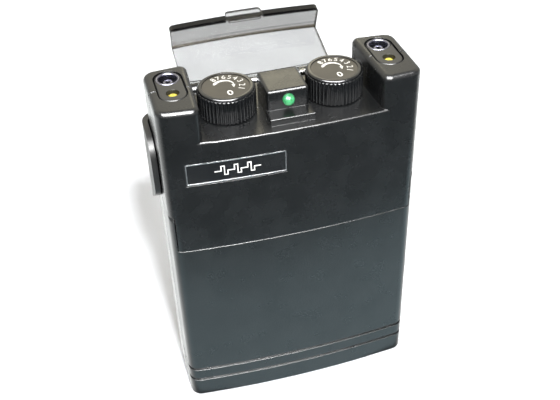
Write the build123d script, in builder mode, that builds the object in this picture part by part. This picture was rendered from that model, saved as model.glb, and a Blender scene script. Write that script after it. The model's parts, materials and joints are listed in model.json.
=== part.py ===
from build123d import *
import math
import os

# Two-channel nerve stimulator, upright on its bottom end.
# +X is to the user's right, -Y is the front face, +Z is up. All sizes are millimetres.
# The origin is the middle of the flat bottom.

# Driving dimensions of the case
BODY_W = 65.0
BODY_T = 24.5
BODY_H = 96.5
FACE_SAG = 1.8          # how far the bulged faces fall back at the sides
CORNER_R = 3.0
SPLIT_GROOVE_HALF = 0.2  # half width of the groove along the parting line
WALL_REAR = 2.2
WALL_FRONT = 1.9
WALL_BOTTOM = 1.8
SEAM_GROOVE = 0.25

# Recess between the two output towers, where the knobs stand
FLOOR_Z = 87.5
RECESS_BACK = 21.35     # half width of the recess at the back of the case
RECESS_FRONT = 22.4     # and at the front, since the towers' inner walls splay
TOP_WALL = 1.8
TOWER_EDGE_R = 1.3
FLOOR_EDGE_R = 0.5
TOWER_CORNER_R = 1.9

# Middle block with the power lamp, and the ledge in front of it
BLOCK_HALF = 5.2
BLOCK_FRONT = -5.5
BLOCK_BACK = 5.0
BLOCK_TOP = 94.5
BLOCK_EDGE_R = 0.75
LEDGE_HALF = 5.5
LEDGE_FRONT = -9.6
LEDGE_TOP = 89.3

# Sliding cover over the lower front
COVER_T = 1.6
COVER_GAP = 0.3
COVER_TOP = 55.5
EAR_TOP = 66.0
EAR_X = 31.35
COVER_SEAM = 0.25
COVER_EDGE_R = 0.2
EAR_CUT_DEPTH = 0.6     # how far the ear's slanting tip cuts into its rounded corner
EAR_CUT_TILT = 27.0     # how far that cut leans back, in degrees
COVER_BASE_BACK = -7.3
COVER_BACK = -0.25
GRIP_GROOVES = (6.8, 11.0)
GRIP_GROOVE_W = 1.0
GRIP_GROOVE_D = 0.5
GRIP_EDGE_R = 0.15

# Control deck behind the cover
DECK_Y = -7.4
DECK_T = 1.4
DECK_HALF = 27.0
DECK_LOW = 33.0
DECK_HIGH = 54.0

SWITCH_X = 14.0
SWITCH_Z = 48.0
DIAL_X = 12.0
DIAL_Z = 39.0
POST_ZS = (36.0, 60.0)
SWITCH_HALF_W = 6.8
SWITCH_HALF_H = 2.75
SWITCH_FACE_Y = -5.9
CONTROL_TIP_Y = -9.6
DIAL_SHAFT_R = 1.5
SMALL_DIAL_R = 4.5
SMALL_DIAL_T = 1.9
SMALL_DIAL_NOTCHES = 20
TRIMMER_HALF = 4.5

# Name plate seat on the upper front
PLATE_XS = (-27.4, -2.5)
PLATE_ZS = (75.7, 82.0)

# Output towers
TOWER_X = 26.9
BEZEL_W = 7.2
BEZEL_L = 14.6
BEZEL_Y = 1.6
BEZEL_GROOVE = 0.35
BEZEL_SUNK = 0.05
BEZEL_T = 1.3
BEZEL_EDGE_R = 0.35
JACK_Y = 5.3
JACK_OUT_R = 3.0
JACK_IN_R = 2.35
JACK_PIN_R = 1.15
JACK_FOOT_R = 1.4
JACK_RIM_R = 0.3
JACK_BASE = 83.0
JACK_FLOOR = 84.5
JACK_LOW = 85.0
JACK_TOP = 96.5
JACK_PIN_TOP = 95.5
CHANNEL_LED_Z = 91.2
CHANNEL_LED_TOP = 96.1
LED_Y = -1.8
LED_R = 1.5
LAMP_Z = 91.8
LAMP_BACK = -3.1
LAMP_DOME = -5.7

# Intensity knobs
KNOB_X = 13.7
KNOB_Y = 1.0
KNOB_R = 7.2
KNOB_BASE = 87.8
KNOB_TOP = 94.5
KNOB_RIBS = 44
RIB_ROOT_R = 6.85
RIB_R = 0.35
RIB_TOP = 93.85
RIB_END_R = 0.3
RIM_R = 6.9
RIM_EDGE_R = 0.5
SKIRT_BORE_R = 5.9
HUB_LOW = 89.9
SHAFT_TOP = 92.9
DIAL_R = 5.9
DIAL_FLOOR = 93.9
DIAL_DISC_T = 0.4
SHAFT_R = 3.0
BUSH_R = 3.5
BUSH_TOP = 89.6
POT_TOP = 80.2
NUT_R = 5.2
NUT_T = 1.7
RUN_FIT = 0.05

# Flip-up knob cover, drawn closed and then turned to its open rest
LID_HINGE_Y = 13.8
LID_HINGE_Z = 87.2
LID_OPEN = 163.0
LID_T = 1.6
LID_HALF = 20.9
LID_LIP_HALF = 21.2
LID_LIP_BOTTOM = 87.8
LID_PIN_R = 0.6

LUG_R = 1.7
LUG_IN = 16.0
LUG_OUT = 20.4
KNUCKLE_R = 1.5
KNUCKLE_IN = 8.3
KNUCKLE_OUT = 15.7
TAB_HALF = 5.1
TAB_REACH = 1.5
TAB_T = 1.2

# Belt clip
CLIP_GAP = 0.3
CLIP_T = 1.4
CLIP_LOW = 57.0
CLIP_HIGH = 77.0
CLIP_EAR_HIGH = 84.0
CLIP_EAR_LOW = 69.0     # lowest point of the ear's front edge
CLIP_EAR_FRONT = -2.5
CLIP_BACK_CORNER = 13.0
CLIP_HINGE_Y = 16.6
CLIP_HINGE_Z = 71.0
CLIP_PIN_R = 0.75
TONGUE_HALF = 9.0
TONGUE_LOW = 30.0
TONGUE_HIGH = 77.0
TONGUE_Y = 18.7
TONGUE_T = 1.6
NOSE_Y = 13.2
EAR_CORNER_R = 5.0
CLIP_LUG_R = 2.0
CLIP_LUG_IN = 7.6
CLIP_LUG_OUT = 10.0
TONGUE_KNUCKLE_IN = 4.0
TONGUE_KNUCKLE_OUT = 7.3
SPRING_L = 6.4
SPRING_PITCH = 0.8
SPRING_R = 1.2
SPRING_WIRE_R = 0.3

# Boards and the battery
BOARD_T = 1.6
MAIN_BOARD_Y = -1.6
MAIN_BOARD_LOW = 33.0
MAIN_BOARD_HIGH = 70.5
BOARD_HALF = 28.0
TOP_BOARD_YS = (-8.0, 8.4)
TOP_BOARD_Z = 72.0
HEADER_HALF = 8.9
HEADER_PINS = 7
HEADER_PITCH = 2.54
HEADER_PIN_HALF = 0.3
BOSS_X = 25.5
BOSS_ZS = (37.0, 66.0)
BOSS_R = 2.8
SCREW_R = 1.2
HEAD_SEAT_Y = 4.2
BASE_FRONT = -7.0
DIMPLE_Y = 4.0
DIMPLE_Z = 72.0
BATTERY = (46.4, 17.5, 26.5)
BATTERY_X0 = -26.5
BATTERY_Y = -0.2
BATTERY_Z0 = 3.7
STUD_H = 2.1
STUD_SPACING = 12.7
SMALL_STUD_R = 2.9
LARGE_STUD_R = 3.9
LEAD_R = 0.65
LEAD_BEND_R = 2.0
LEAD_LOW_Z = 12.0
LEAD_TURN_Z = 28.0
LEAD_TOP_Z = 36.0
TRANSFORMER_X = 12.0
TRANSFORMER_Z = 61.5
CORE_HALF_W = 6.5
CORE_HALF_H = 5.5
CORE_YS = (2.4, 7.0)
CORE_WINDOW_X = 3.1
COIL_HALF_W = 4.5
COIL_BACK = 8.6
CHIP_Z = 44.0
CHIP_HALF_W = 9.8
CHIP_HALF_H = 3.2
CHIP_YS = (0.6, 3.9)
CHIP_LEGS = 8
CHIP_PITCH = 2.4
CAPACITOR_R = 2.6
CAPACITOR_L = 7.5
TRANSISTOR_R = 2.2
TRANSISTOR_L = 4.4
TRANSISTOR_FLAT = 1.2
LEG_WIRE_R = 0.25
RESISTOR_R = 0.9
RESISTOR_L = 5.0
RESISTOR_Y = 1.3
RESISTOR_REACH = 3.6
CAPACITOR_SPOTS = ((-17.0, 52.0), (17.0, 52.0), (-17.0, 44.0), (17.0, 44.0))
TRANSISTOR_XS = (-8.0, -2.7, 2.7, 8.0)
TRANSISTOR_Z = 51.5
RESISTOR_SPOTS = ((-18.0, 37.0), (-9.0, 37.0), (-23.5, 48.0), (-23.5, 52.0), (23.5, 52.0))

os.makedirs("parts", exist_ok=True)


def save(piece, name):
    """Label a finished sub-part and write it to its own file."""
    piece.part.label = name
    export_step(piece.part, "parts/" + name + ".step")


def block(xs, ys, zs, mode=Mode.ADD):
    """A box between two values on each axis, for use inside a part."""
    middle = [(pair[0] + pair[1]) / 2 for pair in (xs, ys, zs)]
    with Locations(tuple(middle)):
        Box(xs[1] - xs[0], ys[1] - ys[0], zs[1] - zs[0], mode=mode)


def rod(centre, radius, length, plane=Plane.XY, mode=Mode.ADD):
    """A cylinder that starts at a point and runs along a plane's normal."""
    with BuildSketch(Plane(origin=centre, x_dir=plane.x_dir, z_dir=plane.z_dir)) as disc:
        Circle(radius)
    extrude(disc.sketch, amount=length, mode=mode)


def face_y(x, inset=0.0):
    """Distance of the bulged front or back face from the middle plane."""
    return BODY_T / 2 - inset - FACE_SAG * (x / (BODY_W / 2)) ** 2


def plan_outline(inset):
    """Plan outline of the body, drawn in by a wall thickness or out by a negative one."""
    half = BODY_W / 2 - inset
    side = face_y(BODY_W / 2, inset)
    middle = face_y(0, inset)
    with BuildSketch() as outline:
        with BuildLine():
            ThreePointArc((-half, -side), (0, -middle), (half, -side))
            Line((half, -side), (half, side))
            ThreePointArc((half, side), (0, middle), (-half, side))
            Line((-half, side), (-half, -side))
        make_face()
        fillet(outline.vertices(), max(CORNER_R - inset, 0.6))
    return outline.sketch


OUTER = plan_outline(0)
GROOVED = plan_outline(SEAM_GROOVE)
COVER_INNER = plan_outline(COVER_T)
LINER_OUTER = plan_outline(COVER_T + COVER_GAP)
LINER_INNER = plan_outline(COVER_T + COVER_GAP + 1.4)
FRONT_INNER = plan_outline(WALL_FRONT)
REAR_INNER = plan_outline(WALL_REAR)
LABEL_FLOOR = plan_outline(0.5)
LABEL_FACE = plan_outline(0.2)
CLIP_INNER = plan_outline(-CLIP_GAP)
CLIP_OUTER = plan_outline(-CLIP_GAP - CLIP_T)
GRIP_FLOOR = plan_outline(GRIP_GROOVE_D)

BIG = 200.0


def slice_solid(outline, low, high, xs, ys, minus=None):
    """A plan outline between two heights, cut to a window and less an inner outline."""
    with BuildPart() as piece:
        with BuildSketch(Plane.XY.offset(low)):
            add(outline)
            if minus is not None:
                add(minus, mode=Mode.SUBTRACT)
        extrude(amount=high - low)
        block(xs, ys, (low - 1, high + 1), mode=Mode.INTERSECT)
    return piece.part


def build_tower(side):
    """One output tower, from the bottom of the case to its rounded top."""
    with BuildPart() as tower:
        with BuildSketch() as plan:
            add(OUTER)
            with BuildLine():
                Polyline(
                    (0, -BODY_T / 2 - 1),
                    (side * RECESS_FRONT, -BODY_T / 2 - 1),
                    (side * RECESS_BACK, BODY_T / 2 + 1),
                    (0, BODY_T / 2 + 1),
                    (-side * BIG, BODY_T / 2 + 1),
                    (-side * BIG, -BODY_T / 2 - 1),
                    close=True,
                )
            make_face(mode=Mode.SUBTRACT)
            fillet(plan.vertices().filter_by(lambda v: abs(v.X) < RECESS_FRONT), TOWER_CORNER_R)
        extrude(amount=BODY_H)
        fillet(tower.edges().group_by(Axis.Z)[-1], TOWER_EDGE_R)
    return tower.part


def build_middle():
    """The part of the case between the towers, up to the recess floor."""
    with BuildPart() as middle:
        with BuildSketch():
            add(OUTER)
            Rectangle(2 * (RECESS_FRONT + 2.0), BIG, mode=Mode.INTERSECT)
        extrude(amount=FLOOR_Z)
        top_edges = middle.edges().group_by(Axis.Z)[-1]
        fillet([top_edges.sort_by(Axis.Y)[0], top_edges.sort_by(Axis.Y)[-1]], FLOOR_EDGE_R)
    return middle.part


def build_lamp_block():
    """The raised block that holds the power lamp, with its ledge."""
    with BuildPart() as lamp_block:
        block((-BLOCK_HALF, BLOCK_HALF), (BLOCK_FRONT, BLOCK_BACK), (FLOOR_Z - 1, BLOCK_TOP))
        fillet(lamp_block.edges().filter_by(Axis.Z), 0.8)
        fillet(lamp_block.edges().group_by(Axis.Z)[-1], BLOCK_EDGE_R)
    return lamp_block.part


def build_ledge():
    """The low ledge in front of the lamp block, where the lid's nib catches."""
    with BuildPart() as ledge:
        ledge_xs = (-LEDGE_HALF, LEDGE_HALF)
        block(ledge_xs, (LEDGE_FRONT, BLOCK_FRONT + 1), (FLOOR_Z - 1, LEDGE_TOP))
        fillet(ledge.edges().filter_by(Axis.X).group_by(Axis.Z)[-1].sort_by(Axis.Y)[0], 0.3)
    return ledge.part


with BuildPart() as case_outside:
    add(build_middle())
    add(build_tower(-1))
    add(build_tower(1))
    add(build_lamp_block())
    add(build_ledge())
    fillet(case_outside.faces().sort_by(Axis.Z)[0].edges(), 0.8)


INSIDE_TOP = FLOOR_Z - TOP_WALL
BLOCK_BACK_HALF = ((-BLOCK_HALF - 0.01, BLOCK_HALF + 0.01), (-0.01, BLOCK_BACK + 0.01), (FLOOR_Z, BODY_H))
TOWER_ROOF = BODY_H - 2.2
ALL_X = (-BIG, BIG)
FRONT_Y = (-BIG, 0.0)
REAR_Y = (0.0, BIG)
SIDES = (("left", -1), ("right", 1))


def mirrored(side, low, high):
    """An X range on the chosen side, from its two distances to the middle plane."""
    return (low, high) if side > 0 else (-high, -low)


# Case: one hollow body, later parted into the front and rear shells
with BuildPart() as casing:
    add(case_outside.part)
    front_low = slice_solid(LINER_INNER, WALL_BOTTOM, 67.0, ALL_X, FRONT_Y)
    add(front_low, mode=Mode.SUBTRACT)
    add(slice_solid(FRONT_INNER, 66.5, INSIDE_TOP, ALL_X, FRONT_Y), mode=Mode.SUBTRACT)
    add(slice_solid(REAR_INNER, WALL_BOTTOM, INSIDE_TOP, ALL_X, REAR_Y), mode=Mode.SUBTRACT)
    block((-4.0, 4.0), (-4.2, 3.8), (INSIDE_TOP - 0.5, BLOCK_TOP - 0.9), Mode.SUBTRACT)
    rod((0, BLOCK_FRONT - 1, LAMP_Z), LED_R + 0.05, 3, Plane.ZX, Mode.SUBTRACT)
    for _, side in SIDES:
        tower_xs = mirrored(side, RECESS_FRONT + 1.0, 30.3)
        block(tower_xs, (-8.0, 8.9), (JACK_BASE - 0.2, TOWER_ROOF), Mode.SUBTRACT)
        with BuildSketch(Plane.XY.offset(BODY_H)):
            with Locations((side * TOWER_X, BEZEL_Y)):
                SlotOverall(BEZEL_L, BEZEL_W, rotation=90)
        extrude(amount=-(BEZEL_SUNK + BEZEL_T), mode=Mode.SUBTRACT)
        rod((side * TOWER_X, JACK_Y, 90), JACK_OUT_R + 0.15, 10, mode=Mode.SUBTRACT)
        rod((side * TOWER_X, LED_Y, 90), LED_R + 0.5, 10, mode=Mode.SUBTRACT)
        rod((side * KNOB_X, KNOB_Y, 80), BUSH_R + 0.1, 10, mode=Mode.SUBTRACT)
    # the groove along the parting line
    groove_ys = (-SPLIT_GROOVE_HALF, SPLIT_GROOVE_HALF)
    side_groove = slice_solid(CLIP_OUTER, -1, BODY_H + 1, ALL_X, groove_ys, minus=GROOVED)
    add(side_groove, mode=Mode.SUBTRACT)
    block((-40, 40), groove_ys, (BODY_H - SEAM_GROOVE, BODY_H + 1), Mode.SUBTRACT)


# Front shell: upper front, its half of the towers, the control deck and the cover's seat
with BuildPart() as block_back_half:
    add(casing.part)
    block(*BLOCK_BACK_HALF, Mode.INTERSECT)

with BuildPart() as front_shell:
    add(casing.part)
    block(ALL_X, FRONT_Y, (WALL_BOTTOM + 0.3, BIG), Mode.INTERSECT)
    add(block_back_half.part)
    seat_top = COVER_TOP + COVER_SEAM
    seat = slice_solid(CLIP_OUTER, -1, seat_top, ALL_X, (-BIG, 0.1), minus=LINER_OUTER)
    add(seat, mode=Mode.SUBTRACT)
    for _, side in SIDES:
        ear_xs = mirrored(side, EAR_X - COVER_SEAM, 40)
        block(ear_xs, (-20, 0.1), (COVER_TOP - 1, EAR_TOP + COVER_SEAM), Mode.SUBTRACT)
    # control deck: a pocket with a panel for the switches and dials
    deck_back = DECK_Y + DECK_T
    block((-28.6, 28.6), (-8.7, deck_back), (DECK_LOW - DECK_T, DECK_HIGH + DECK_T))
    block((-DECK_HALF, DECK_HALF), (-20, DECK_Y), (DECK_LOW, DECK_HIGH), Mode.SUBTRACT)
    block((-27.6, 27.6), (-20, -6.1), (WALL_BOTTOM, DECK_LOW - DECK_T), Mode.SUBTRACT)
    for _, side in SIDES:
        slot_x = side * SWITCH_X
        slot_xs = (slot_x - 5.2, slot_x + 5.2)
        slot_zs = (SWITCH_Z - 1.9, SWITCH_Z + 1.9)
        block(slot_xs, (DECK_Y - 1, deck_back + 1), slot_zs, Mode.SUBTRACT)
        rod((side * DIAL_X, DECK_Y - 1, DIAL_Z), 1.8, 4, Plane.ZX, Mode.SUBTRACT)
        for boss_z in BOSS_ZS:
            rod((side * BOSS_X, -9.0, boss_z), BOSS_R, 8.95, Plane.ZX)
            rod((side * BOSS_X, -5.8, boss_z), SCREW_R + 0.02, 6, Plane.ZX, Mode.SUBTRACT)
    for post_z in POST_ZS:
        rod((0, -9.0, post_z), 2.2, 9.0 + MAIN_BOARD_Y, Plane.ZX)
        rod((0, -5.5, post_z), 0.92, 5, Plane.ZX, Mode.SUBTRACT)
    # shallow seat of the name plate
    plate_seat = slice_solid(CLIP_OUTER, *PLATE_ZS, PLATE_XS, (-BIG, 0), minus=LABEL_FLOOR)
    add(plate_seat, mode=Mode.SUBTRACT)
save(front_shell, "front_shell")


# Rear shell: back of the case, the battery floor and the lid's hinge lugs
with BuildPart() as rear_shell:
    add(casing.part)
    block(ALL_X, REAR_Y, (-10, BIG), Mode.INTERSECT)
    block(*BLOCK_BACK_HALF, Mode.SUBTRACT)
    add(slice_solid(LINER_OUTER, 0, WALL_BOTTOM, (-30.3, 30.3), (BASE_FRONT, 0.5)))
    for _, side in SIDES:
        for boss_z in BOSS_ZS:
            rod((side * BOSS_X, 0.05, boss_z), 3.5, 9.6, Plane.ZX)
            rod((side * BOSS_X, -1, boss_z), SCREW_R + 0.15, 16, Plane.ZX, Mode.SUBTRACT)
            rod((side * BOSS_X, HEAD_SEAT_Y, boss_z), 2.6, 12, Plane.ZX, Mode.SUBTRACT)
        lug_low, lug_high = mirrored(side, LUG_IN, LUG_OUT)
        lug_start = (lug_low, LID_HINGE_Y, LID_HINGE_Z)
        rod(lug_start, LUG_R, lug_high - lug_low, Plane.YZ)
        block((lug_low, lug_high), (10.8, LID_HINGE_Y), (LID_HINGE_Z - LUG_R, LID_HINGE_Z))
        knuckle_low, knuckle_high = mirrored(side, KNUCKLE_IN - 0.3, KNUCKLE_OUT + 0.3)
        knuckle_start = (knuckle_low, LID_HINGE_Y, LID_HINGE_Z)
        relief = knuckle_high - knuckle_low
        rod(knuckle_start, KNUCKLE_R + 0.4, relief, Plane.YZ, Mode.SUBTRACT)
        # dimple that the clip's ear snaps into
        dimple = (side * (BODY_W / 2 - 0.8), DIMPLE_Y, DIMPLE_Z)
        rod(dimple, 1.7, side * 3, Plane.YZ, Mode.SUBTRACT)
    pin_start = (-LUG_OUT - 1, LID_HINGE_Y, LID_HINGE_Z)
    rod(pin_start, LID_PIN_R + 0.02, 2 * LUG_OUT + 2, Plane.YZ, Mode.SUBTRACT)
    # end stops that hold the battery against its connector
    block((-30, BATTERY_X0 - 0.2), (0, 8), (1, 20))
save(rear_shell, "rear_shell")


# Sliding cover: front, both sides and the front strip of the bottom
with BuildPart() as control_cover:
    cover_ys = (-BIG, COVER_BACK)
    add(slice_solid(OUTER, 0, COVER_TOP, ALL_X, cover_ys, minus=COVER_INNER))
    add(slice_solid(OUTER, 0, COVER_T, ALL_X, (-BIG, COVER_BASE_BACK)))
    for _, side in SIDES:
        ear_xs = mirrored(side, EAR_X, 40)
        add(slice_solid(OUTER, COVER_TOP - 1, EAR_TOP, ear_xs, cover_ys))
        # the ear's tip is cut slanting across its rounded corner
        tilt = math.radians(EAR_CUT_TILT)
        reach = (CORNER_R - EAR_CUT_DEPTH) / math.sqrt(2)
        corner_x = side * (BODY_W / 2 - CORNER_R + reach)
        corner_y = -(face_y(BODY_W / 2 - CORNER_R) - CORNER_R + reach)
        outward = (side * math.cos(tilt), -math.cos(tilt), math.sqrt(2) * math.sin(tilt))
        tip = Plane(origin=(corner_x, corner_y, EAR_TOP), z_dir=outward)
        with BuildSketch(tip) as cut:
            Rectangle(8, 6)
        extrude(cut.sketch, amount=4, mode=Mode.SUBTRACT)
    bottom_edges = control_cover.faces().sort_by(Axis.Z)[0].outer_wire().edges()
    fillet(bottom_edges.filter_by(lambda e: e.center().Y < COVER_BASE_BACK - 0.5), 0.8)
    top_edges = control_cover.edges().filter_by(lambda e: abs(e.center().Z - COVER_TOP) < 0.01)
    fillet(top_edges.sort_by(Axis.Y)[0], COVER_EDGE_R)
    for groove_z in GRIP_GROOVES:
        low = groove_z - GRIP_GROOVE_W / 2
        high = groove_z + GRIP_GROOVE_W / 2
        groove = slice_solid(CLIP_OUTER, low, high, ALL_X, cover_ys, minus=GRIP_FLOOR)
        add(groove, mode=Mode.SUBTRACT)
        ledge_edges = control_cover.edges().filter_by(lambda e: abs(e.center().Z - low) < 0.01)
        fillet(ledge_edges.filter_by(lambda e: e.length > 1).sort_by(Axis.Y)[0], GRIP_EDGE_R)
save(control_cover, "control_cover")


# Name plate, left blank
with BuildPart() as name_plate:
    plate_xs = (PLATE_XS[0] + 0.1, PLATE_XS[1] - 0.1)
    plate_zs = (PLATE_ZS[0] + 0.1, PLATE_ZS[1] - 0.1)
    add(slice_solid(LABEL_FACE, *plate_zs, plate_xs, (-BIG, 0), minus=LABEL_FLOOR))
save(name_plate, "name_plate")


def build_lid_closed():
    """The knob cover as it lies when shut: top, front lip, rear wall, tab and knuckles."""
    with BuildPart() as lid:
        # the top and the two walls, cut to the width that widens towards the lip's end
        add(slice_solid(OUTER, BODY_H - LID_T, BODY_H, ALL_X, ALL_X))
        lip = slice_solid(OUTER, LID_LIP_BOTTOM, BODY_H, ALL_X, ALL_X, minus=COVER_INNER)
        add(lip)
        with BuildSketch(Plane.XZ.offset(-BIG)):
            with BuildLine():
                Polyline(
                    (-LID_HALF, BODY_H),
                    (-LID_LIP_HALF, LID_LIP_BOTTOM),
                    (LID_LIP_HALF, LID_LIP_BOTTOM),
                    (LID_HALF, BODY_H),
                    close=True,
                )
            make_face()
        extrude(amount=2 * BIG, mode=Mode.INTERSECT)
        lip_corners = lid.edges().filter_by(Axis.Y).group_by(Axis.Z)[0]
        fillet(lip_corners.group_by(Axis.Y)[0], 1.2)
        block((-LID_HALF, LID_HALF), (5, 20), (80, LID_LIP_BOTTOM + 0.1), Mode.SUBTRACT)
        top_edges = lid.edges().group_by(Axis.Z)[-1].filter_by(Axis.Y, reverse=True)
        fillet(top_edges, 1.0)
        # finger tab on the lip and the catch nib inside it
        with BuildSketch(Plane.XY.offset(LID_LIP_BOTTOM)):
            with Locations((0, -(BODY_T / 2 + TAB_REACH / 2 - 0.5))):
                RectangleRounded(2 * TAB_HALF, TAB_REACH + 1.0, 1.0)
        extrude(amount=TAB_T)
        nib_back = -(BODY_T / 2 - LID_T) + 0.45
        nib_low = LID_LIP_BOTTOM + 0.4
        block((-4.5, 4.5), (nib_back - 0.8, nib_back), (nib_low, nib_low + 0.8))
        # knuckles, each with a short arm to the rear wall
        for _, side in SIDES:
            knuckle_low, knuckle_high = mirrored(side, KNUCKLE_IN, KNUCKLE_OUT)
            start = (knuckle_low, LID_HINGE_Y, LID_HINGE_Z)
            rod(start, KNUCKLE_R, knuckle_high - knuckle_low, Plane.YZ)
            arm_top = LID_HINGE_Z + KNUCKLE_R
            arm_ys = (10.9, LID_HINGE_Y)
            block((knuckle_low, knuckle_high), arm_ys, (arm_top - 0.8, arm_top))
        bore_start = (-20, LID_HINGE_Y, LID_HINGE_Z)
        rod(bore_start, LID_PIN_R + RUN_FIT, 40, Plane.YZ, Mode.SUBTRACT)
    return lid.part


# Knob cover, turned to its open rest about the hinge
lid_axis = Axis((0, LID_HINGE_Y, LID_HINGE_Z), (1, 0, 0))
with BuildPart() as knob_cover:
    add(build_lid_closed().rotate(lid_axis, -LID_OPEN))
save(knob_cover, "knob_cover")


with BuildPart() as lid_hinge_pin:
    rod((-LUG_OUT, LID_HINGE_Y, LID_HINGE_Z), LID_PIN_R, 2 * LUG_OUT, Plane.YZ)
save(lid_hinge_pin, "lid_hinge_pin")


# Output towers: bezel, jack and channel lamp on each side
def build_bezel(side):
    """Oval plate flush in the top of a tower, with holes for the jack and the lamp."""
    top = BODY_H - BEZEL_SUNK
    with BuildPart() as bezel:
        with BuildSketch(Plane.XY.offset(top)) as oval:
            with Locations((side * TOWER_X, BEZEL_Y)):
                SlotOverall(BEZEL_L - 2 * BEZEL_GROOVE, BEZEL_W - 2 * BEZEL_GROOVE, rotation=90)
        extrude(oval.sketch, amount=-BEZEL_T)
        fillet(bezel.edges().group_by(Axis.Z)[-1], BEZEL_EDGE_R)
        rod((side * TOWER_X, JACK_Y, top - 5), JACK_OUT_R + 0.05, 10, mode=Mode.SUBTRACT)
        rod((side * TOWER_X, LED_Y, top - 5), LED_R + 0.1, 10, mode=Mode.SUBTRACT)
    return bezel


def build_jack_sleeve(side):
    """Plated contact tube of an output jack."""
    with BuildPart() as sleeve:
        rod((side * TOWER_X, JACK_Y, JACK_LOW), JACK_OUT_R, JACK_TOP - JACK_LOW)
        rod((side * TOWER_X, JACK_Y, JACK_LOW - 1), JACK_IN_R, 20, mode=Mode.SUBTRACT)
        fillet(sleeve.edges().group_by(Axis.Z)[-1], JACK_RIM_R)
    return sleeve


def build_jack_pin(side):
    """Hollow centre contact of an output jack, with its solder tail."""
    with BuildPart() as pin:
        rod((side * TOWER_X, JACK_Y, JACK_LOW), JACK_PIN_R, JACK_PIN_TOP - JACK_LOW)
        rod((side * TOWER_X, JACK_Y, JACK_FLOOR), JACK_FOOT_R, JACK_LOW - JACK_FLOOR)
        rod((side * TOWER_X, JACK_Y, JACK_FLOOR + 2), 0.6, 20, mode=Mode.SUBTRACT)
        tail_low = TOP_BOARD_Z + BOARD_T
        rod((side * TOWER_X, JACK_Y, tail_low), 0.4, JACK_FLOOR - tail_low)
    return pin


def build_jack_body(side):
    """Moulded body that holds the sleeve and the centre pin."""
    with BuildPart() as body:
        middle = side * TOWER_X
        block((middle - 3.2, middle + 3.2), (2.0, 8.8), (JACK_BASE, TOWER_ROOF - 0.1))
        rod((middle, JACK_Y, JACK_LOW), JACK_OUT_R + 0.02, 20, mode=Mode.SUBTRACT)
        rod((middle, JACK_Y, JACK_FLOOR), JACK_FOOT_R, 20, mode=Mode.SUBTRACT)
        rod((middle, JACK_Y, JACK_BASE - 1), 0.42, 10, mode=Mode.SUBTRACT)
    return body


def build_channel_led(side):
    """Domed yellow lamp on two long leads from the top board."""
    with BuildPart() as led:
        centre = (side * TOWER_X, LED_Y)
        rod((*centre, CHANNEL_LED_Z), LED_R + 0.2, 0.8)
        rod((*centre, CHANNEL_LED_Z), LED_R, CHANNEL_LED_TOP - LED_R - CHANNEL_LED_Z)
        with Locations((*centre, CHANNEL_LED_TOP - LED_R)):
            Sphere(LED_R)
        for lead in (-1.27, 1.27):
            foot = TOP_BOARD_Z + BOARD_T
            start = (centre[0] + lead * 0.8, LED_Y, foot)
            rod(start, 0.25, CHANNEL_LED_Z + 0.4 - foot)
    return led


for side_name, side in SIDES:
    save(build_bezel(side), "output_bezel_" + side_name)
    save(build_jack_sleeve(side), "jack_sleeve_" + side_name)
    save(build_jack_pin(side), "jack_pin_" + side_name)
    save(build_jack_body(side), "jack_body_" + side_name)
    save(build_channel_led(side), "channel_led_" + side_name)


# Power lamp: its dome looks out of the middle block's front
with BuildPart() as power_led:
    rod((0, LAMP_BACK, LAMP_Z), LED_R + 0.2, -0.8, Plane.ZX)
    rod((0, LAMP_BACK, LAMP_Z), LED_R, LAMP_DOME - LAMP_BACK, Plane.ZX)
    with Locations((0, LAMP_DOME, LAMP_Z)):
        Sphere(LED_R)
    for lead in (-1.0, 1.0):
        rod((lead, LAMP_BACK - 0.3, LAMP_Z), 0.25, 2.0, Plane.ZX)
        foot = TOP_BOARD_Z + BOARD_T
        rod((lead, LAMP_BACK + 1.5, foot), 0.25, LAMP_Z + 0.2 - foot)
save(power_led, "power_led")


# Intensity controls: potentiometer, bush, nut, shaft, knob and numbered dial
def build_pot_body(side):
    with BuildPart() as pot:
        xs = (side * KNOB_X - 6, side * KNOB_X + 6)
        block(xs, (KNOB_Y - 5.5, KNOB_Y + 5.5), (TOP_BOARD_Z + BOARD_T + 0.05, POT_TOP))
        fillet(pot.edges().filter_by(Axis.Z), 1.0)
        rod((side * KNOB_X, KNOB_Y, POT_TOP - 3.2), SHAFT_R + RUN_FIT, 10, mode=Mode.SUBTRACT)
    return pot


def build_pot_bush(side):
    """Bush that guides the shaft and carries the fixing nut."""
    with BuildPart() as bush:
        rod((side * KNOB_X, KNOB_Y, POT_TOP), BUSH_R, BUSH_TOP - POT_TOP)
        rod((side * KNOB_X, KNOB_Y, POT_TOP), BUSH_R + 1.5, INSIDE_TOP - 0.05 - POT_TOP)
        rod((side * KNOB_X, KNOB_Y, POT_TOP - 1), SHAFT_R + RUN_FIT, 20, mode=Mode.SUBTRACT)
    return bush


def build_pot_nut(side):
    with BuildPart() as nut:
        with BuildSketch(Plane.XY.offset(FLOOR_Z + 0.02)) as hexagon:
            with Locations((side * KNOB_X, KNOB_Y)):
                RegularPolygon(NUT_R, 6)
                Circle(BUSH_R + 0.02, mode=Mode.SUBTRACT)
        extrude(hexagon.sketch, amount=NUT_T)
    return nut


def build_knob_shaft(side):
    """Potentiometer shaft, flattened where the knob grips it."""
    with BuildPart() as shaft:
        low = POT_TOP - 3.0
        rod((side * KNOB_X, KNOB_Y, low), SHAFT_R, SHAFT_TOP - low)
        flat_ys = (KNOB_Y + SHAFT_R - 1.2, KNOB_Y + SHAFT_R + 1)
        flat_xs = (side * KNOB_X - 4, side * KNOB_X + 4)
        block(flat_xs, flat_ys, (HUB_LOW, SHAFT_TOP + 1), Mode.SUBTRACT)
    return shaft


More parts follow.
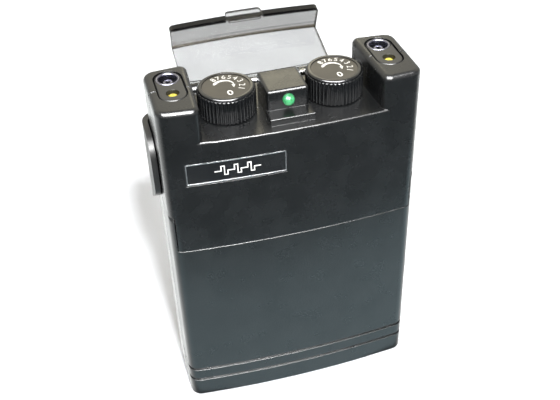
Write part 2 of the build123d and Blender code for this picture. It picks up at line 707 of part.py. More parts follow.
def build_knob_cap(side):
    """Ribbed knob, hollow below over the nut, with a smooth rim round its dial seat."""
    centre = (side * KNOB_X, KNOB_Y)
    with BuildPart() as cap:
        # a plain drum with a rounded top edge, then cut back between its ribs
        rod((*centre, KNOB_BASE), KNOB_R, RIB_TOP - KNOB_BASE)
        fillet(cap.edges().group_by(Axis.Z)[-1], RIB_END_R)
        with BuildSketch(Plane.XY.offset(KNOB_BASE)) as ribbed:
            with Locations(centre):
                Circle(RIB_ROOT_R)
                with PolarLocations(RIB_ROOT_R, KNOB_RIBS):
                    Circle(RIB_R)
        extrude(ribbed.sketch, amount=KNOB_TOP - KNOB_BASE, mode=Mode.INTERSECT)
        rod((*centre, RIB_TOP - 1), RIM_R, KNOB_TOP - RIB_TOP + 1)
        fillet(cap.edges().group_by(Axis.Z)[-1], RIM_EDGE_R)
        rod((*centre, DIAL_FLOOR), DIAL_R, 5, mode=Mode.SUBTRACT)
        rod((*centre, KNOB_BASE - 1), SKIRT_BORE_R, HUB_LOW - KNOB_BASE + 1, mode=Mode.SUBTRACT)
        with BuildSketch(Plane.XY.offset(HUB_LOW - 0.5)) as bore:
            with Locations(centre):
                Circle(SHAFT_R + 0.02)
            flat = KNOB_Y + SHAFT_R - 1.2 + 0.02
            with Locations((centre[0], flat + 5)):
                Rectangle(20, 10, mode=Mode.SUBTRACT)
        extrude(bore.sketch, amount=SHAFT_TOP + 0.02 - HUB_LOW + 0.5, mode=Mode.SUBTRACT)
    return cap


def build_knob_dial(side):
    """Thin printed disc in the top of the knob."""
    with BuildPart() as dial:
        rod((side * KNOB_X, KNOB_Y, DIAL_FLOOR), DIAL_R - 0.05, DIAL_DISC_T)
    return dial


for side_name, side in SIDES:
    save(build_pot_body(side), "pot_body_" + side_name)
    save(build_pot_bush(side), "pot_bush_" + side_name)
    save(build_pot_nut(side), "pot_nut_" + side_name)
    save(build_knob_shaft(side), "knob_shaft_" + side_name)
    save(build_knob_cap(side), "knob_cap_" + side_name)
    save(build_knob_dial(side), "knob_dial_" + side_name)


# Boards
with BuildPart() as main_board:
    front_face = MAIN_BOARD_Y
    back_face = MAIN_BOARD_Y + BOARD_T
    block((-BOARD_HALF, BOARD_HALF), (front_face, back_face), (MAIN_BOARD_LOW, MAIN_BOARD_HIGH))
    fillet(main_board.edges().filter_by(Axis.Y), 1.0)
    for _, side in SIDES:
        for boss_z in BOSS_ZS:
            rod((side * BOSS_X, -3, boss_z), BOSS_R + 0.2, 6, Plane.ZX, Mode.SUBTRACT)
    for post_z in POST_ZS:
        rod((0, -3, post_z), 1.05, 6, Plane.ZX, Mode.SUBTRACT)
save(main_board, "main_board")

with BuildPart() as top_board:
    block((-BOARD_HALF, BOARD_HALF), TOP_BOARD_YS, (TOP_BOARD_Z, TOP_BOARD_Z + BOARD_T))
    fillet(top_board.edges().filter_by(Axis.Z), 2.0)
save(top_board, "top_board")

# Header that joins the two boards: one block and its row of pins
with BuildPart() as board_header:
    block((-HEADER_HALF, HEADER_HALF), (0.1, 2.6), (69.4, TOP_BOARD_Z))
    for pin_number in range(HEADER_PINS):
        pin_x = (pin_number - (HEADER_PINS - 1) / 2) * HEADER_PITCH
        pin_xs = (pin_x - HEADER_PIN_HALF, pin_x + HEADER_PIN_HALF)
        block(pin_xs, (0.0, 0.7), (66.0, 69.5))
save(board_header, "board_header")


# Output transformers on the back of the main board
def build_transformer_core(side):
    middle = side * TRANSFORMER_X
    with BuildPart() as core:
        xs = (middle - CORE_HALF_W, middle + CORE_HALF_W)
        zs = (TRANSFORMER_Z - CORE_HALF_H, TRANSFORMER_Z + CORE_HALF_H)
        block(xs, CORE_YS, zs)
        for window in (-CORE_WINDOW_X, CORE_WINDOW_X):
            window_xs = (middle + window - 1.5, middle + window + 1.5)
            window_zs = (TRANSFORMER_Z - 3.8, TRANSFORMER_Z + 3.8)
            block(window_xs, (0, 9), window_zs, Mode.SUBTRACT)
    return core


def build_transformer_coil(side):
    middle = side * TRANSFORMER_X
    with BuildPart() as coil:
        zs = (TRANSFORMER_Z - 3.7, TRANSFORMER_Z + 3.7)
        block((middle - COIL_HALF_W, middle + COIL_HALF_W), (0.0, COIL_BACK), zs)
        fillet(coil.edges().filter_by(Axis.Z), 0.8)
        leg_zs = (TRANSFORMER_Z - 5, TRANSFORMER_Z + 5)
        block((middle - 1.65, middle + 1.65), (2.35, 7.05), leg_zs, Mode.SUBTRACT)
    return coil


for side_name, side in SIDES:
    save(build_transformer_core(side), "transformer_core_" + side_name)
    save(build_transformer_coil(side), "transformer_coil_" + side_name)

# Timing chip with its legs
with BuildPart() as timing_chip:
    chip_zs = (CHIP_Z - CHIP_HALF_H, CHIP_Z + CHIP_HALF_H)
    block((-CHIP_HALF_W, CHIP_HALF_W), CHIP_YS, chip_zs)
    chamfer(timing_chip.edges().filter_by(Axis.X), 0.3)
    for leg_number in range(CHIP_LEGS):
        leg_x = (leg_number - (CHIP_LEGS - 1) / 2) * CHIP_PITCH
        for leg_side in (-1, 1):
            leg_middle = CHIP_Z + leg_side * (CHIP_HALF_H + 0.3)
            leg_zs = (leg_middle - 0.4, leg_middle + 0.4)
            block((leg_x - 0.3, leg_x + 0.3), (0.0, 2.2), leg_zs)
save(timing_chip, "timing_chip")

# Electrolytic capacitors, one group
with BuildPart() as capacitors:
    for cap_x, cap_z in CAPACITOR_SPOTS:
        rod((cap_x, 0.0, cap_z), CAPACITOR_R, CAPACITOR_L, Plane.ZX)
    rims = capacitors.edges().filter_by(GeomType.CIRCLE).group_by(Axis.Y)[-1]
    fillet(rims, 0.4)
save(capacitors, "capacitors")

# Output transistors, one group
with BuildPart() as transistors:
    for spot_x in TRANSISTOR_XS:
        rod((spot_x, 1.6, TRANSISTOR_Z), TRANSISTOR_R, TRANSISTOR_L, Plane.ZX)
        flat_zs = (TRANSISTOR_Z + TRANSISTOR_FLAT, TRANSISTOR_Z + 4)
        block((spot_x - 3, spot_x + 3), (1, 7), flat_zs, Mode.SUBTRACT)
        for leg in (-1.27, 0, 1.27):
            rod((spot_x + leg, 0.0, TRANSISTOR_Z), LEG_WIRE_R, 2.0, Plane.ZX)
save(transistors, "transistors")

# Resistors, one group lying on the board
with BuildPart() as resistors:
    for spot_x, spot_z in RESISTOR_SPOTS:
        body_start = (spot_x - RESISTOR_L / 2, RESISTOR_Y, spot_z)
        rod(body_start, RESISTOR_R, RESISTOR_L, Plane.YZ)
        wire_start = (spot_x - RESISTOR_REACH, RESISTOR_Y, spot_z)
        rod(wire_start, LEG_WIRE_R, 2 * RESISTOR_REACH, Plane.YZ)
        for bend_side in (-1, 1):
            bend_x = spot_x + bend_side * (RESISTOR_REACH - 0.2)
            rod((bend_x, 0.0, spot_z), LEG_WIRE_R, RESISTOR_Y, Plane.ZX)
save(resistors, "resistors")


# Slide switches on the control deck
def build_switch_body(side):
    middle = side * SWITCH_X
    with BuildPart() as body:
        xs = (middle - SWITCH_HALF_W, middle + SWITCH_HALF_W)
        zs = (SWITCH_Z - SWITCH_HALF_H, SWITCH_Z + SWITCH_HALF_H)
        block(xs, (SWITCH_FACE_Y, MAIN_BOARD_Y), zs)
        fillet(body.edges().filter_by(Axis.Y), 0.5)
        slot_xs = (middle - 5.7, middle + 5.7)
        slot_ys = (SWITCH_FACE_Y - 1, SWITCH_FACE_Y + 1.7)
        block(slot_xs, slot_ys, (SWITCH_Z - 1.8, SWITCH_Z + 1.8), Mode.SUBTRACT)
    return body


def build_switch_slider(side):
    middle = side * SWITCH_X
    with BuildPart() as slider:
        foot_ys = (SWITCH_FACE_Y + 0.3, SWITCH_FACE_Y + 1.4)
        block((middle - 2.4, middle + 2.4), foot_ys, (SWITCH_Z - 1.5, SWITCH_Z + 1.5))
        lever_xs = (middle - 1.75, middle + 1.75)
        lever_zs = (SWITCH_Z - 1.5, SWITCH_Z + 1.5)
        block(lever_xs, (CONTROL_TIP_Y, SWITCH_FACE_Y + 0.5), lever_zs)
        for rib in (-0.9, 0, 0.9):
            rib_xs = (middle + rib - 0.2, middle + rib + 0.2)
            notch_ys = (CONTROL_TIP_Y - 1, CONTROL_TIP_Y + 0.4)
            block(rib_xs, notch_ys, (SWITCH_Z - 3, SWITCH_Z + 3), Mode.SUBTRACT)
    return slider


# Rate and width dials on the control deck
def build_trimmer_body(side):
    middle = side * DIAL_X
    with BuildPart() as body:
        xs = (middle - TRIMMER_HALF, middle + TRIMMER_HALF)
        zs = (DIAL_Z - TRIMMER_HALF, DIAL_Z + TRIMMER_HALF)
        block(xs, (-5.7, MAIN_BOARD_Y), zs)
        fillet(body.edges().filter_by(Axis.Y), 0.8)
        rod((middle, -8, DIAL_Z), DIAL_SHAFT_R + RUN_FIT, 5.2, Plane.ZX, Mode.SUBTRACT)
    return body


def build_trimmer_dial(side):
    """Small dial with a slot across it and a notched edge, on its own shaft."""
    middle = side * DIAL_X
    with BuildPart() as dial:
        rod((middle, CONTROL_TIP_Y, DIAL_Z), SMALL_DIAL_R, SMALL_DIAL_T, Plane.ZX)
        rod((middle, CONTROL_TIP_Y, DIAL_Z), DIAL_SHAFT_R, 6.5, Plane.ZX)
        slot_ys = (CONTROL_TIP_Y - 1, CONTROL_TIP_Y + 0.7)
        block((middle - 3.2, middle + 3.2), slot_ys, (DIAL_Z - 0.4, DIAL_Z + 0.4), Mode.SUBTRACT)
        for notch in range(SMALL_DIAL_NOTCHES):
            angle = math.radians(notch * 360 / SMALL_DIAL_NOTCHES)
            notch_x = middle + (SMALL_DIAL_R + 0.1) * math.cos(angle)
            notch_z = DIAL_Z + (SMALL_DIAL_R + 0.1) * math.sin(angle)
            rod((notch_x, CONTROL_TIP_Y - 1, notch_z), 0.3, 5, Plane.ZX, Mode.SUBTRACT)
    return dial


for control_name, side in (("mode", -1), ("timer", 1)):
    save(build_switch_body(side), control_name + "_switch_body")
    save(build_switch_slider(side), control_name + "_switch_slider")

for control_name, side in (("rate", -1), ("width", 1)):
    save(build_trimmer_body(side), control_name + "_trimmer_body")
    save(build_trimmer_dial(side), control_name + "_dial")


# Nine-volt battery, lying across the bottom, with its connector and leads
battery_x1 = BATTERY_X0 + BATTERY[0]
battery_z1 = BATTERY_Z0 + BATTERY[2]
battery_mid_z = (BATTERY_Z0 + battery_z1) / 2
battery_terminals = (
    (battery_mid_z - STUD_SPACING / 2, SMALL_STUD_R),
    (battery_mid_z + STUD_SPACING / 2, LARGE_STUD_R),
)
with BuildPart() as battery_9v:
    battery_ys = (BATTERY_Y - BATTERY[1] / 2, BATTERY_Y + BATTERY[1] / 2)
    block((BATTERY_X0, battery_x1), battery_ys, (BATTERY_Z0, battery_z1))
    fillet(battery_9v.edges().filter_by(Axis.X), 1.5)
save(battery_9v, "battery_9v")

with BuildPart() as battery_studs:
    for stud_z, stud_r in battery_terminals:
        rod((battery_x1, BATTERY_Y, stud_z), stud_r, STUD_H, Plane.YZ)
    rims = battery_studs.edges().filter_by(GeomType.CIRCLE).group_by(Axis.X)[-1]
    fillet(rims, 0.4)
save(battery_studs, "battery_studs")

with BuildPart() as battery_connector:
    connector_x0 = battery_x1 + 0.1
    connector_x1 = battery_x1 + STUD_H + 1.6
    connector_ys = (BATTERY_Y - 6.2, BATTERY_Y + 6.2)
    connector_zs = (battery_mid_z - 12.5, battery_mid_z + 12.5)
    block((connector_x0, connector_x1), connector_ys, connector_zs)
    fillet(battery_connector.edges().filter_by(Axis.X), 2.5)
    for stud_z, stud_r in battery_terminals:
        start = (connector_x0 - 1, BATTERY_Y, stud_z)
        rod(start, stud_r + 0.1, STUD_H + 1.1, Plane.YZ, Mode.SUBTRACT)
save(battery_connector, "battery_connector")


def build_lead(lead_y, end_x):
    """Insulated battery lead from the connector's back, up its side, to the main board."""
    route = [
        (connector_x1, lead_y, LEAD_LOW_Z),
        (connector_x1 + 3.0, lead_y, LEAD_LOW_Z),
        (connector_x1 + 3.0, lead_y, LEAD_TURN_Z),
        (end_x, lead_y, LEAD_TOP_Z),
        (end_x, 0.0, LEAD_TOP_Z),
    ]
    with BuildPart() as lead:
        with BuildLine() as path:
            FilletPolyline(*route, radius=LEAD_BEND_R)
        with BuildSketch(Plane(origin=route[0], z_dir=(1, 0, 0))) as section:
            Circle(LEAD_R)
        sweep(section.sketch, path=path.line)
    return lead


save(build_lead(5.2, 19.0), "battery_lead_red")
save(build_lead(3.2, 16.5), "battery_lead_black")

with BuildPart() as battery_pad:
    block((-10, 10), (BATTERY_Y + BATTERY[1] / 2, 9.75), (8, 26))
save(battery_pad, "battery_pad")


# Screws that close the case, one group, driven from the back
with BuildPart() as case_screws:
    for _, side in SIDES:
        for boss_z in BOSS_ZS:
            rod((side * BOSS_X, -5.6, boss_z), SCREW_R, HEAD_SEAT_Y + 5.6, Plane.ZX)
            rod((side * BOSS_X, HEAD_SEAT_Y, boss_z), 2.3, 1.7, Plane.ZX)
            cross_ys = (HEAD_SEAT_Y + 0.9, HEAD_SEAT_Y + 3)
            for arm_x, arm_z in ((1.5, 0.3), (0.3, 1.5)):
                cross_xs = (side * BOSS_X - arm_x, side * BOSS_X + arm_x)
                block(cross_xs, cross_ys, (boss_z - arm_z, boss_z + arm_z), Mode.SUBTRACT)
save(case_screws, "case_screws")

# Screws that hold the main board, one group
with BuildPart() as board_screws:
    for post_z in POST_ZS:
        rod((0, -5.3, post_z), 0.9, 5.3, Plane.ZX)
        rod((0, 0, post_z), 1.8, 1.2, Plane.ZX)
        block((-1.3, 1.3), (0.6, 2), (post_z - 0.25, post_z + 0.25), Mode.SUBTRACT)
save(board_screws, "board_screws")


# Belt clip: a bracket that wraps the back, and a sprung tongue
with BuildPart() as clip_bracket:
    add(slice_solid(CLIP_OUTER, CLIP_LOW, CLIP_HIGH, ALL_X, (CLIP_EAR_FRONT, BIG), CLIP_INNER))
    for _, side in SIDES:
        ear_xs = mirrored(side, 27.0, 60.0)
        ear_ys = (CLIP_EAR_FRONT, BIG)
        add(slice_solid(CLIP_OUTER, CLIP_HIGH - 1, CLIP_EAR_HIGH, ear_xs, ear_ys, CLIP_INNER))
    # the ears' lower edges slope down to the back plate
    slope = (CLIP_EAR_LOW - CLIP_LOW) / (CLIP_BACK_CORNER - CLIP_EAR_FRONT)
    with BuildSketch(Plane.YZ.offset(-BIG)):
        with BuildLine():
            Polyline(
                (CLIP_EAR_FRONT - 1, CLIP_EAR_LOW + slope),
                (CLIP_BACK_CORNER, CLIP_LOW),
                (CLIP_BACK_CORNER, CLIP_LOW - 1),
                (CLIP_EAR_FRONT - 1, CLIP_LOW - 1),
                close=True,
            )
        make_face()
    extrude(amount=2 * BIG, mode=Mode.SUBTRACT)
    ear_ends = clip_bracket.edges().filter_by(Axis.X)
    ear_ends = ear_ends.filter_by(lambda e: abs(e.center().Y - CLIP_EAR_FRONT) < 0.01)
    fillet(ear_ends, EAR_CORNER_R)
    for _, side in SIDES:
        # nub that snaps into the rear shell
        rod((side * (BODY_W / 2 - 0.6), DIMPLE_Y, DIMPLE_Z), 1.3, side * 1.2, Plane.YZ)
        lug_low, lug_high = mirrored(side, CLIP_LUG_IN, CLIP_LUG_OUT)
        start = (lug_low, CLIP_HINGE_Y, CLIP_HINGE_Z)
        rod(start, CLIP_LUG_R, lug_high - lug_low, Plane.YZ)
        web_zs = (CLIP_HINGE_Z - CLIP_LUG_R, CLIP_HINGE_Z + CLIP_LUG_R)
        block((lug_low, lug_high), (BODY_T / 2 + CLIP_GAP + 0.3, CLIP_HINGE_Y), web_zs)
    bore_start = (-12, CLIP_HINGE_Y, CLIP_HINGE_Z)
    rod(bore_start, CLIP_PIN_R + 0.02, 24, Plane.YZ, Mode.SUBTRACT)
save(clip_bracket, "clip_bracket")

with BuildPart() as clip_tongue:
    tongue_ys = (TONGUE_Y, TONGUE_Y + TONGUE_T)
    block((-TONGUE_HALF, TONGUE_HALF), tongue_ys, (TONGUE_LOW, TONGUE_HIGH))
    fillet(clip_tongue.edges().filter_by(Axis.Y), 2.0)
    # nose that closes on the belt, and grip ribs on the thumb end
    nose_zs = (TONGUE_LOW + 1, TONGUE_LOW + 4)
    block((-TONGUE_HALF + 1, TONGUE_HALF - 1), (NOSE_Y, TONGUE_Y + 0.5), nose_zs)
    fillet(clip_tongue.edges().filter_by(Axis.X).group_by(Axis.Y)[0], 1.2)
    for rib in range(3):
        rib_z = TONGUE_HIGH - 1.6 - rib * 1.4
        rib_ys = (TONGUE_Y + TONGUE_T - 0.2, TONGUE_Y + TONGUE_T + 0.4)
        block((-6, 6), rib_ys, (rib_z - 0.3, rib_z + 0.3))
    for _, side in SIDES:
        knuckle_low, knuckle_high = mirrored(side, TONGUE_KNUCKLE_IN, TONGUE_KNUCKLE_OUT)
        start = (knuckle_low, CLIP_HINGE_Y, CLIP_HINGE_Z)
        rod(start, CLIP_LUG_R, knuckle_high - knuckle_low, Plane.YZ)
        web_zs = (CLIP_HINGE_Z - 1.2, CLIP_HINGE_Z + 1.2)
        block((knuckle_low, knuckle_high), (CLIP_HINGE_Y, TONGUE_Y + 0.5), web_zs)
    rod(bore_start, CLIP_PIN_R + RUN_FIT, 24, Plane.YZ, Mode.SUBTRACT)
save(clip_tongue, "clip_tongue")

with BuildPart() as clip_pin:
    rod((-CLIP_LUG_OUT, CLIP_HINGE_Y, CLIP_HINGE_Z), CLIP_PIN_R, 2 * CLIP_LUG_OUT, Plane.YZ)
save(clip_pin, "clip_pin")

# Coil spring round the clip's pin, between the tongue's knuckles
with BuildPart() as clip_spring:
    spring_start = (-SPRING_L / 2, CLIP_HINGE_Y, CLIP_HINGE_Z)
    with BuildLine() as coil:
        Helix(SPRING_PITCH, SPRING_L, SPRING_R, center=spring_start, direction=(1, 0, 0))
    with BuildSketch(Plane(origin=coil.line @ 0, z_dir=coil.line % 0)) as wire:
        Circle(SPRING_WIRE_R)
    sweep(wire.sketch, path=coil.line, is_frenet=True)
save(clip_spring, "clip_spring")
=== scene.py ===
import json
import math

import bmesh
import bpy
from mathutils import Matrix, Vector


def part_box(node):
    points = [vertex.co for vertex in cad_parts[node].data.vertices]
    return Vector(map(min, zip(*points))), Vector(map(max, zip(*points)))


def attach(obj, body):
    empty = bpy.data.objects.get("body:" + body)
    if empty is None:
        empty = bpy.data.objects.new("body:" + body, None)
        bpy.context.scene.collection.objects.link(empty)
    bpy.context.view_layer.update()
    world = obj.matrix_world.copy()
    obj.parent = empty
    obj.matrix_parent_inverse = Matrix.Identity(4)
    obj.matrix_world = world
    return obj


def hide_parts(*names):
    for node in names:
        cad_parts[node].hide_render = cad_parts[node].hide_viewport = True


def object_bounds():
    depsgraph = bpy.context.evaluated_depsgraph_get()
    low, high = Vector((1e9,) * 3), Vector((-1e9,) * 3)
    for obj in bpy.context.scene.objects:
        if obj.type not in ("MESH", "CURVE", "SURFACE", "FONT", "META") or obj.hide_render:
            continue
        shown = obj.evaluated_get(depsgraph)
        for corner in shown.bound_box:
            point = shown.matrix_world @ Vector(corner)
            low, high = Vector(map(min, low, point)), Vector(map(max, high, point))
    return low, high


# Two-channel nerve stimulator: materials, printed marks, foam, light and camera round the packed
# model. Metres, +X to the user's right, -Y the front face, +Z up.
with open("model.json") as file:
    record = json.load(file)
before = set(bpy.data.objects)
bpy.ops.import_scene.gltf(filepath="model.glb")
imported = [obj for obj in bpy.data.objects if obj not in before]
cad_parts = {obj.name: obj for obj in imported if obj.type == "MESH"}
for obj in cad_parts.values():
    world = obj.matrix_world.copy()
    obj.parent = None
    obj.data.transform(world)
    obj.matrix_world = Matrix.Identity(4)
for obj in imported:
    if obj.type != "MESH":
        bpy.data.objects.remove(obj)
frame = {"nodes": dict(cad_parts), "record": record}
cad_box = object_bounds()

MM = 0.001
SIDES = ("left", "right")


# ---------------------------------------------------------------- building blocks for materials
def fill_ramp(node, stops):
    """Set a colour ramp's stops from (position, colour) pairs."""
    elements = node.color_ramp.elements
    elements[0].position, elements[0].color = stops[0][0], (*stops[0][1], 1)
    elements[1].position, elements[1].color = stops[-1][0], (*stops[-1][1], 1)
    for position, colour in stops[1:-1]:
        elements.new(position).color = (*colour, 1)


class Finish:
    """One node material: a Principled shader and the textures that feed it."""

    def __init__(self, name, **constants):
        self.material = bpy.data.materials.new(name)
        self.material.use_nodes = True
        self.tree = self.material.node_tree
        self.shader = self.tree.nodes["Principled BSDF"]
        self.output = self.tree.nodes["Material Output"]
        self.place = self.add("ShaderNodeTexCoord").outputs["Object"]
        for socket, value in constants.items():
            self.shader.inputs[socket.replace("_", " ")].default_value = value

    def add(self, kind, **settings):
        node = self.tree.nodes.new(kind)
        for key, value in settings.items():
            setattr(node, key, value)
        return node

    def join(self, source, target):
        self.tree.links.new(source, target)

    def noise(self, size, detail=3.0, stretch=None):
        """Soft noise whose blobs are about size metres across, or stretched along one axis."""
        texture = self.add("ShaderNodeTexNoise")
        texture.inputs["Scale"].default_value = 1.0 / size
        texture.inputs["Detail"].default_value = detail
        source = self.place
        if stretch is not None:
            mapping = self.add("ShaderNodeMapping")
            mapping.inputs["Scale"].default_value = stretch
            self.join(source, mapping.inputs["Vector"])
            source = mapping.outputs["Vector"]
        self.join(source, texture.inputs["Vector"])
        return texture.outputs["Fac"]

    def ramp(self, factor, stops):
        """A colour ramp from (position, colour) stops."""
        node = self.add("ShaderNodeValToRGB")
        fill_ramp(node, stops)
        self.join(factor, node.inputs["Fac"])
        return node.outputs["Color"]

    def spread(self, factor, low, high, source=(0.3, 0.7)):
        """A number that follows a factor between two values."""
        node = self.add("ShaderNodeMapRange")
        for name, value in zip(("From Min", "From Max", "To Min", "To Max"), (*source, low, high)):
            node.inputs[name].default_value = value
        self.join(factor, node.inputs["Value"])
        return node.outputs["Result"]

    def mix(self, factor, colour_a, colour_b):
        """Colour a where the factor is 0 and colour b where it is 1; either may be a socket."""
        node = self.add("ShaderNodeMix", data_type="RGBA")
        self.join(factor, node.inputs["Factor"])
        for socket, colour in ((node.inputs[6], colour_a), (node.inputs[7], colour_b)):
            if isinstance(colour, tuple):
                socket.default_value = (*colour, 1)
            else:
                self.join(colour, socket)
        return node.outputs[2]

    def soft_edge(self, radius):
        """The normal as if each sharp edge had a small rounding."""
        node = self.add("ShaderNodeBevel", samples=6)
        node.inputs["Radius"].default_value = radius
        return node.outputs["Normal"]

    def sharp_edge_mask(self, rounded, source=(0.75, 0.99)):
        """0 on flat faces and 1 on sharp edges."""
        geometry = self.add("ShaderNodeNewGeometry")
        dot = self.add("ShaderNodeVectorMath", operation="DOT_PRODUCT")
        self.join(geometry.outputs["Normal"], dot.inputs[0])
        self.join(rounded, dot.inputs[1])
        return self.spread(dot.outputs["Value"], 1.0, 0.0, source=source)

    def bump(self, height, depth, normal=None):
        node = self.add("ShaderNodeBump")
        node.inputs["Distance"].default_value = depth
        self.join(height, node.inputs["Height"])
        if normal is not None:
            self.join(normal, node.inputs["Normal"])
        return node.outputs["Normal"]

    def finish(self, colour=None, roughness=None, normal=None):
        for name, source in (("Base Color", colour), ("Roughness", roughness), ("Normal", normal)):
            if source is not None:
                self.join(source, self.shader.inputs[name])
        return self.material


def moulded(name, dark, light, rough, grain=0.25 * MM, depth=0.006 * MM, edge=0.12 * MM, wear_and_painted_highlight=None,
            **constants):
    """Moulded plastic: fine eroded grain, faint cloudiness, softened edges that may be lighter, partly as
    wear and partly as a painted highlight.
    """
    f = Finish(name, **constants)
    colour = f.ramp(f.noise(9 * MM), [(0.35, dark), (0.65, light)])
    rounded = f.soft_edge(edge)
    # lighter sharp edges: partly wear, partly a painted highlight along the edges
    if wear_and_painted_highlight is not None:
        colour = f.mix(f.sharp_edge_mask(rounded), colour, wear_and_painted_highlight)
    roughness = f.spread(f.noise(5 * MM, 4.0), rough[0], rough[1])
    return f.finish(colour, roughness, f.bump(f.noise(grain, 2.0), depth, rounded))


def metal(name, dark, light, rough, stretch, edge=0.06 * MM):
    """Bare metal with fine lines left by turning, drawing or plating."""
    f = Finish(name, Metallic=1.0)
    lines = f.noise(0.4 * MM, 3.0, stretch)
    colour = f.ramp(lines, [(0.3, dark), (0.7, light)])
    roughness = f.spread(lines, rough[0], rough[1])
    return f.finish(colour, roughness, f.bump(lines, 0.004 * MM, f.soft_edge(edge)))


LID_EDGE_R = 0.7 * MM      # width of the painted dark edges of the clear lid, a painted refraction of dark things
FOLD_DROP = 8.2 * MM       # from the lid's highest point down to the fold of its lip
LIP_END_DROP = 1.4 * MM    # and down to the end of its lip, which the finger tab passes
PAINTED_END_BAND = 0.8 * MM        # height of the painted near-black band at the lip's end, a painted refraction of dark things
BAND_BLUR = 0.3 * MM
TAB_HALF = 5.2 * MM        # the finger tab stays clear within this half width
TAB_BLUR = 0.2 * MM


def make_clear_plastic():
    """Clear smoke-tinted plastic with painted refraction: the darker lip, the dark line and brown band near
    its fold, the dark edges and the near-black end of the lip are painted as colour by height and facing."""
    f = Finish("clear_plastic", Transmission_Weight=1.0, IOR=1.5)
    panel = f.ramp(f.noise(12 * MM), [(0.35, (0.56, 0.565, 0.565)), (0.65, (0.60, 0.605, 0.605))])
    facing = f.add("ShaderNodeSeparateXYZ")
    f.join(f.add("ShaderNodeTexCoord").outputs["Normal"], facing.inputs["Vector"])
    lengthwise = f.add("ShaderNodeMath", operation="ABSOLUTE")
    f.join(facing.outputs["Y"], lengthwise.inputs[0])
    lip = f.spread(lengthwise.outputs["Value"], 0.0, 1.0, source=(0.6, 0.85))
    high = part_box("knob_cover")[1]
    at = f.add("ShaderNodeSeparateXYZ")
    f.join(f.place, at.inputs["Vector"])
    # the lip's darker grey, the brown band and the dark line near the fold are painted refraction and
    # reflection, not the plastic's own colour
    painted_lip_grey, painted_fold_reflection, painted_refraction_line = (0.38, 0.38, 0.375), (0.05, 0.038, 0.022), (0.13, 0.13, 0.13)
    share = f.spread(at.outputs["Z"], 0.0, 1.0, (high.z - FOLD_DROP, high.z - LIP_END_DROP))
    painted_lip_colour = f.ramp(share, [(0.0, painted_fold_reflection), (0.12, (0.13, 0.112, 0.085)), (0.23, painted_lip_grey),
                                (0.27, painted_lip_grey), (0.30, painted_refraction_line), (0.33, painted_lip_grey),
                                (1.0, painted_lip_grey)])
    colour = f.mix(lip, panel, painted_lip_colour)
    rounded = f.soft_edge(LID_EDGE_R)
    # painted dark edges: a painted refraction of dark things along every sharp edge of the lid
    colour = f.mix(f.sharp_edge_mask(rounded, (0.90, 0.998)), colour, (0.008, 0.006, 0.004))
    across = f.add("ShaderNodeMath", operation="ABSOLUTE")
    f.join(at.outputs["X"], across.inputs[0])
    # painted near-black end of the lip, a painted refraction; the finger tab stays clear of it
    painted_end_mask = f.add("ShaderNodeMath", operation="MULTIPLY")
    band_low = high.z - LIP_END_DROP - PAINTED_END_BAND
    in_band = f.spread(at.outputs["Z"], 0.0, 1.0, (band_low, band_low + BAND_BLUR))
    off_tab = f.spread(across.outputs["Value"], 0.0, 1.0, (TAB_HALF, TAB_HALF + TAB_BLUR))
    f.join(in_band, painted_end_mask.inputs[0])
    f.join(off_tab, painted_end_mask.inputs[1])
    colour = f.mix(painted_end_mask.outputs["Value"], colour, (0.002, 0.002, 0.002))
    roughness = f.spread(f.noise(2 * MM, 5.0), 0.02, 0.07)
    scuffs = f.noise(0.8 * MM, 4.0, (1.0, 6.0, 1.0))
    smoke = f.add("ShaderNodeVolumeAbsorption")
    smoke.inputs["Color"].default_value = (0.55, 0.56, 0.52, 1)
    smoke.inputs["Density"].default_value = 110.0
    f.join(smoke.outputs["Volume"], f.output.inputs["Volume"])
    return f.finish(colour, roughness, f.bump(scuffs, 0.0015 * MM))


def make_lens(name, deep, bright, glow):
    """Diffused epoxy lens of a lamp, brightest through its middle."""
    f = Finish(name, IOR=1.5, Subsurface_Weight=0.35, Coat_Weight=0.35, Coat_Roughness=0.18)
    f.shader.inputs["Subsurface Radius"].default_value = (0.6, 0.9, 0.4)
    f.shader.inputs["Subsurface Scale"].default_value = 0.8 * MM
    f.shader.inputs["Emission Color"].default_value = (*bright, 1)
    f.shader.inputs["Emission Strength"].default_value = glow
    colour = f.ramp(f.noise(1.2 * MM), [(0.3, deep), (0.7, bright)])
    return f.finish(colour, f.spread(f.noise(0.7 * MM), 0.12, 0.25))


def make_circuit_board():
    """Green solder mask with copper tracks showing through as raised lighter lines."""
    f = Finish("circuit_board", Coat_Weight=0.4, Coat_Roughness=0.2)
    tracks = f.add("ShaderNodeTexBrick")
    tracks.inputs["Scale"].default_value = 1.0 / (5 * MM)
    tracks.inputs["Mortar Size"].default_value = 0.035
    swap = f.add("ShaderNodeMapping")
    swap.inputs["Rotation"].default_value = (math.pi / 2, 0, 0)
    f.join(f.place, swap.inputs["Vector"])
    f.join(swap.outputs["Vector"], tracks.inputs["Vector"])
    mask = f.ramp(f.noise(3 * MM), [(0.3, (0.008, 0.07, 0.022)), (0.7, (0.012, 0.1, 0.03))])
    colour = f.mix(tracks.outputs["Fac"], mask, (0.04, 0.2, 0.07))
    roughness = f.spread(f.noise(1.5 * MM), 0.3, 0.45)
    raised = f.bump(tracks.outputs["Fac"], 0.02 * MM, f.soft_edge(0.1 * MM))
    return f.finish(colour, roughness, raised)


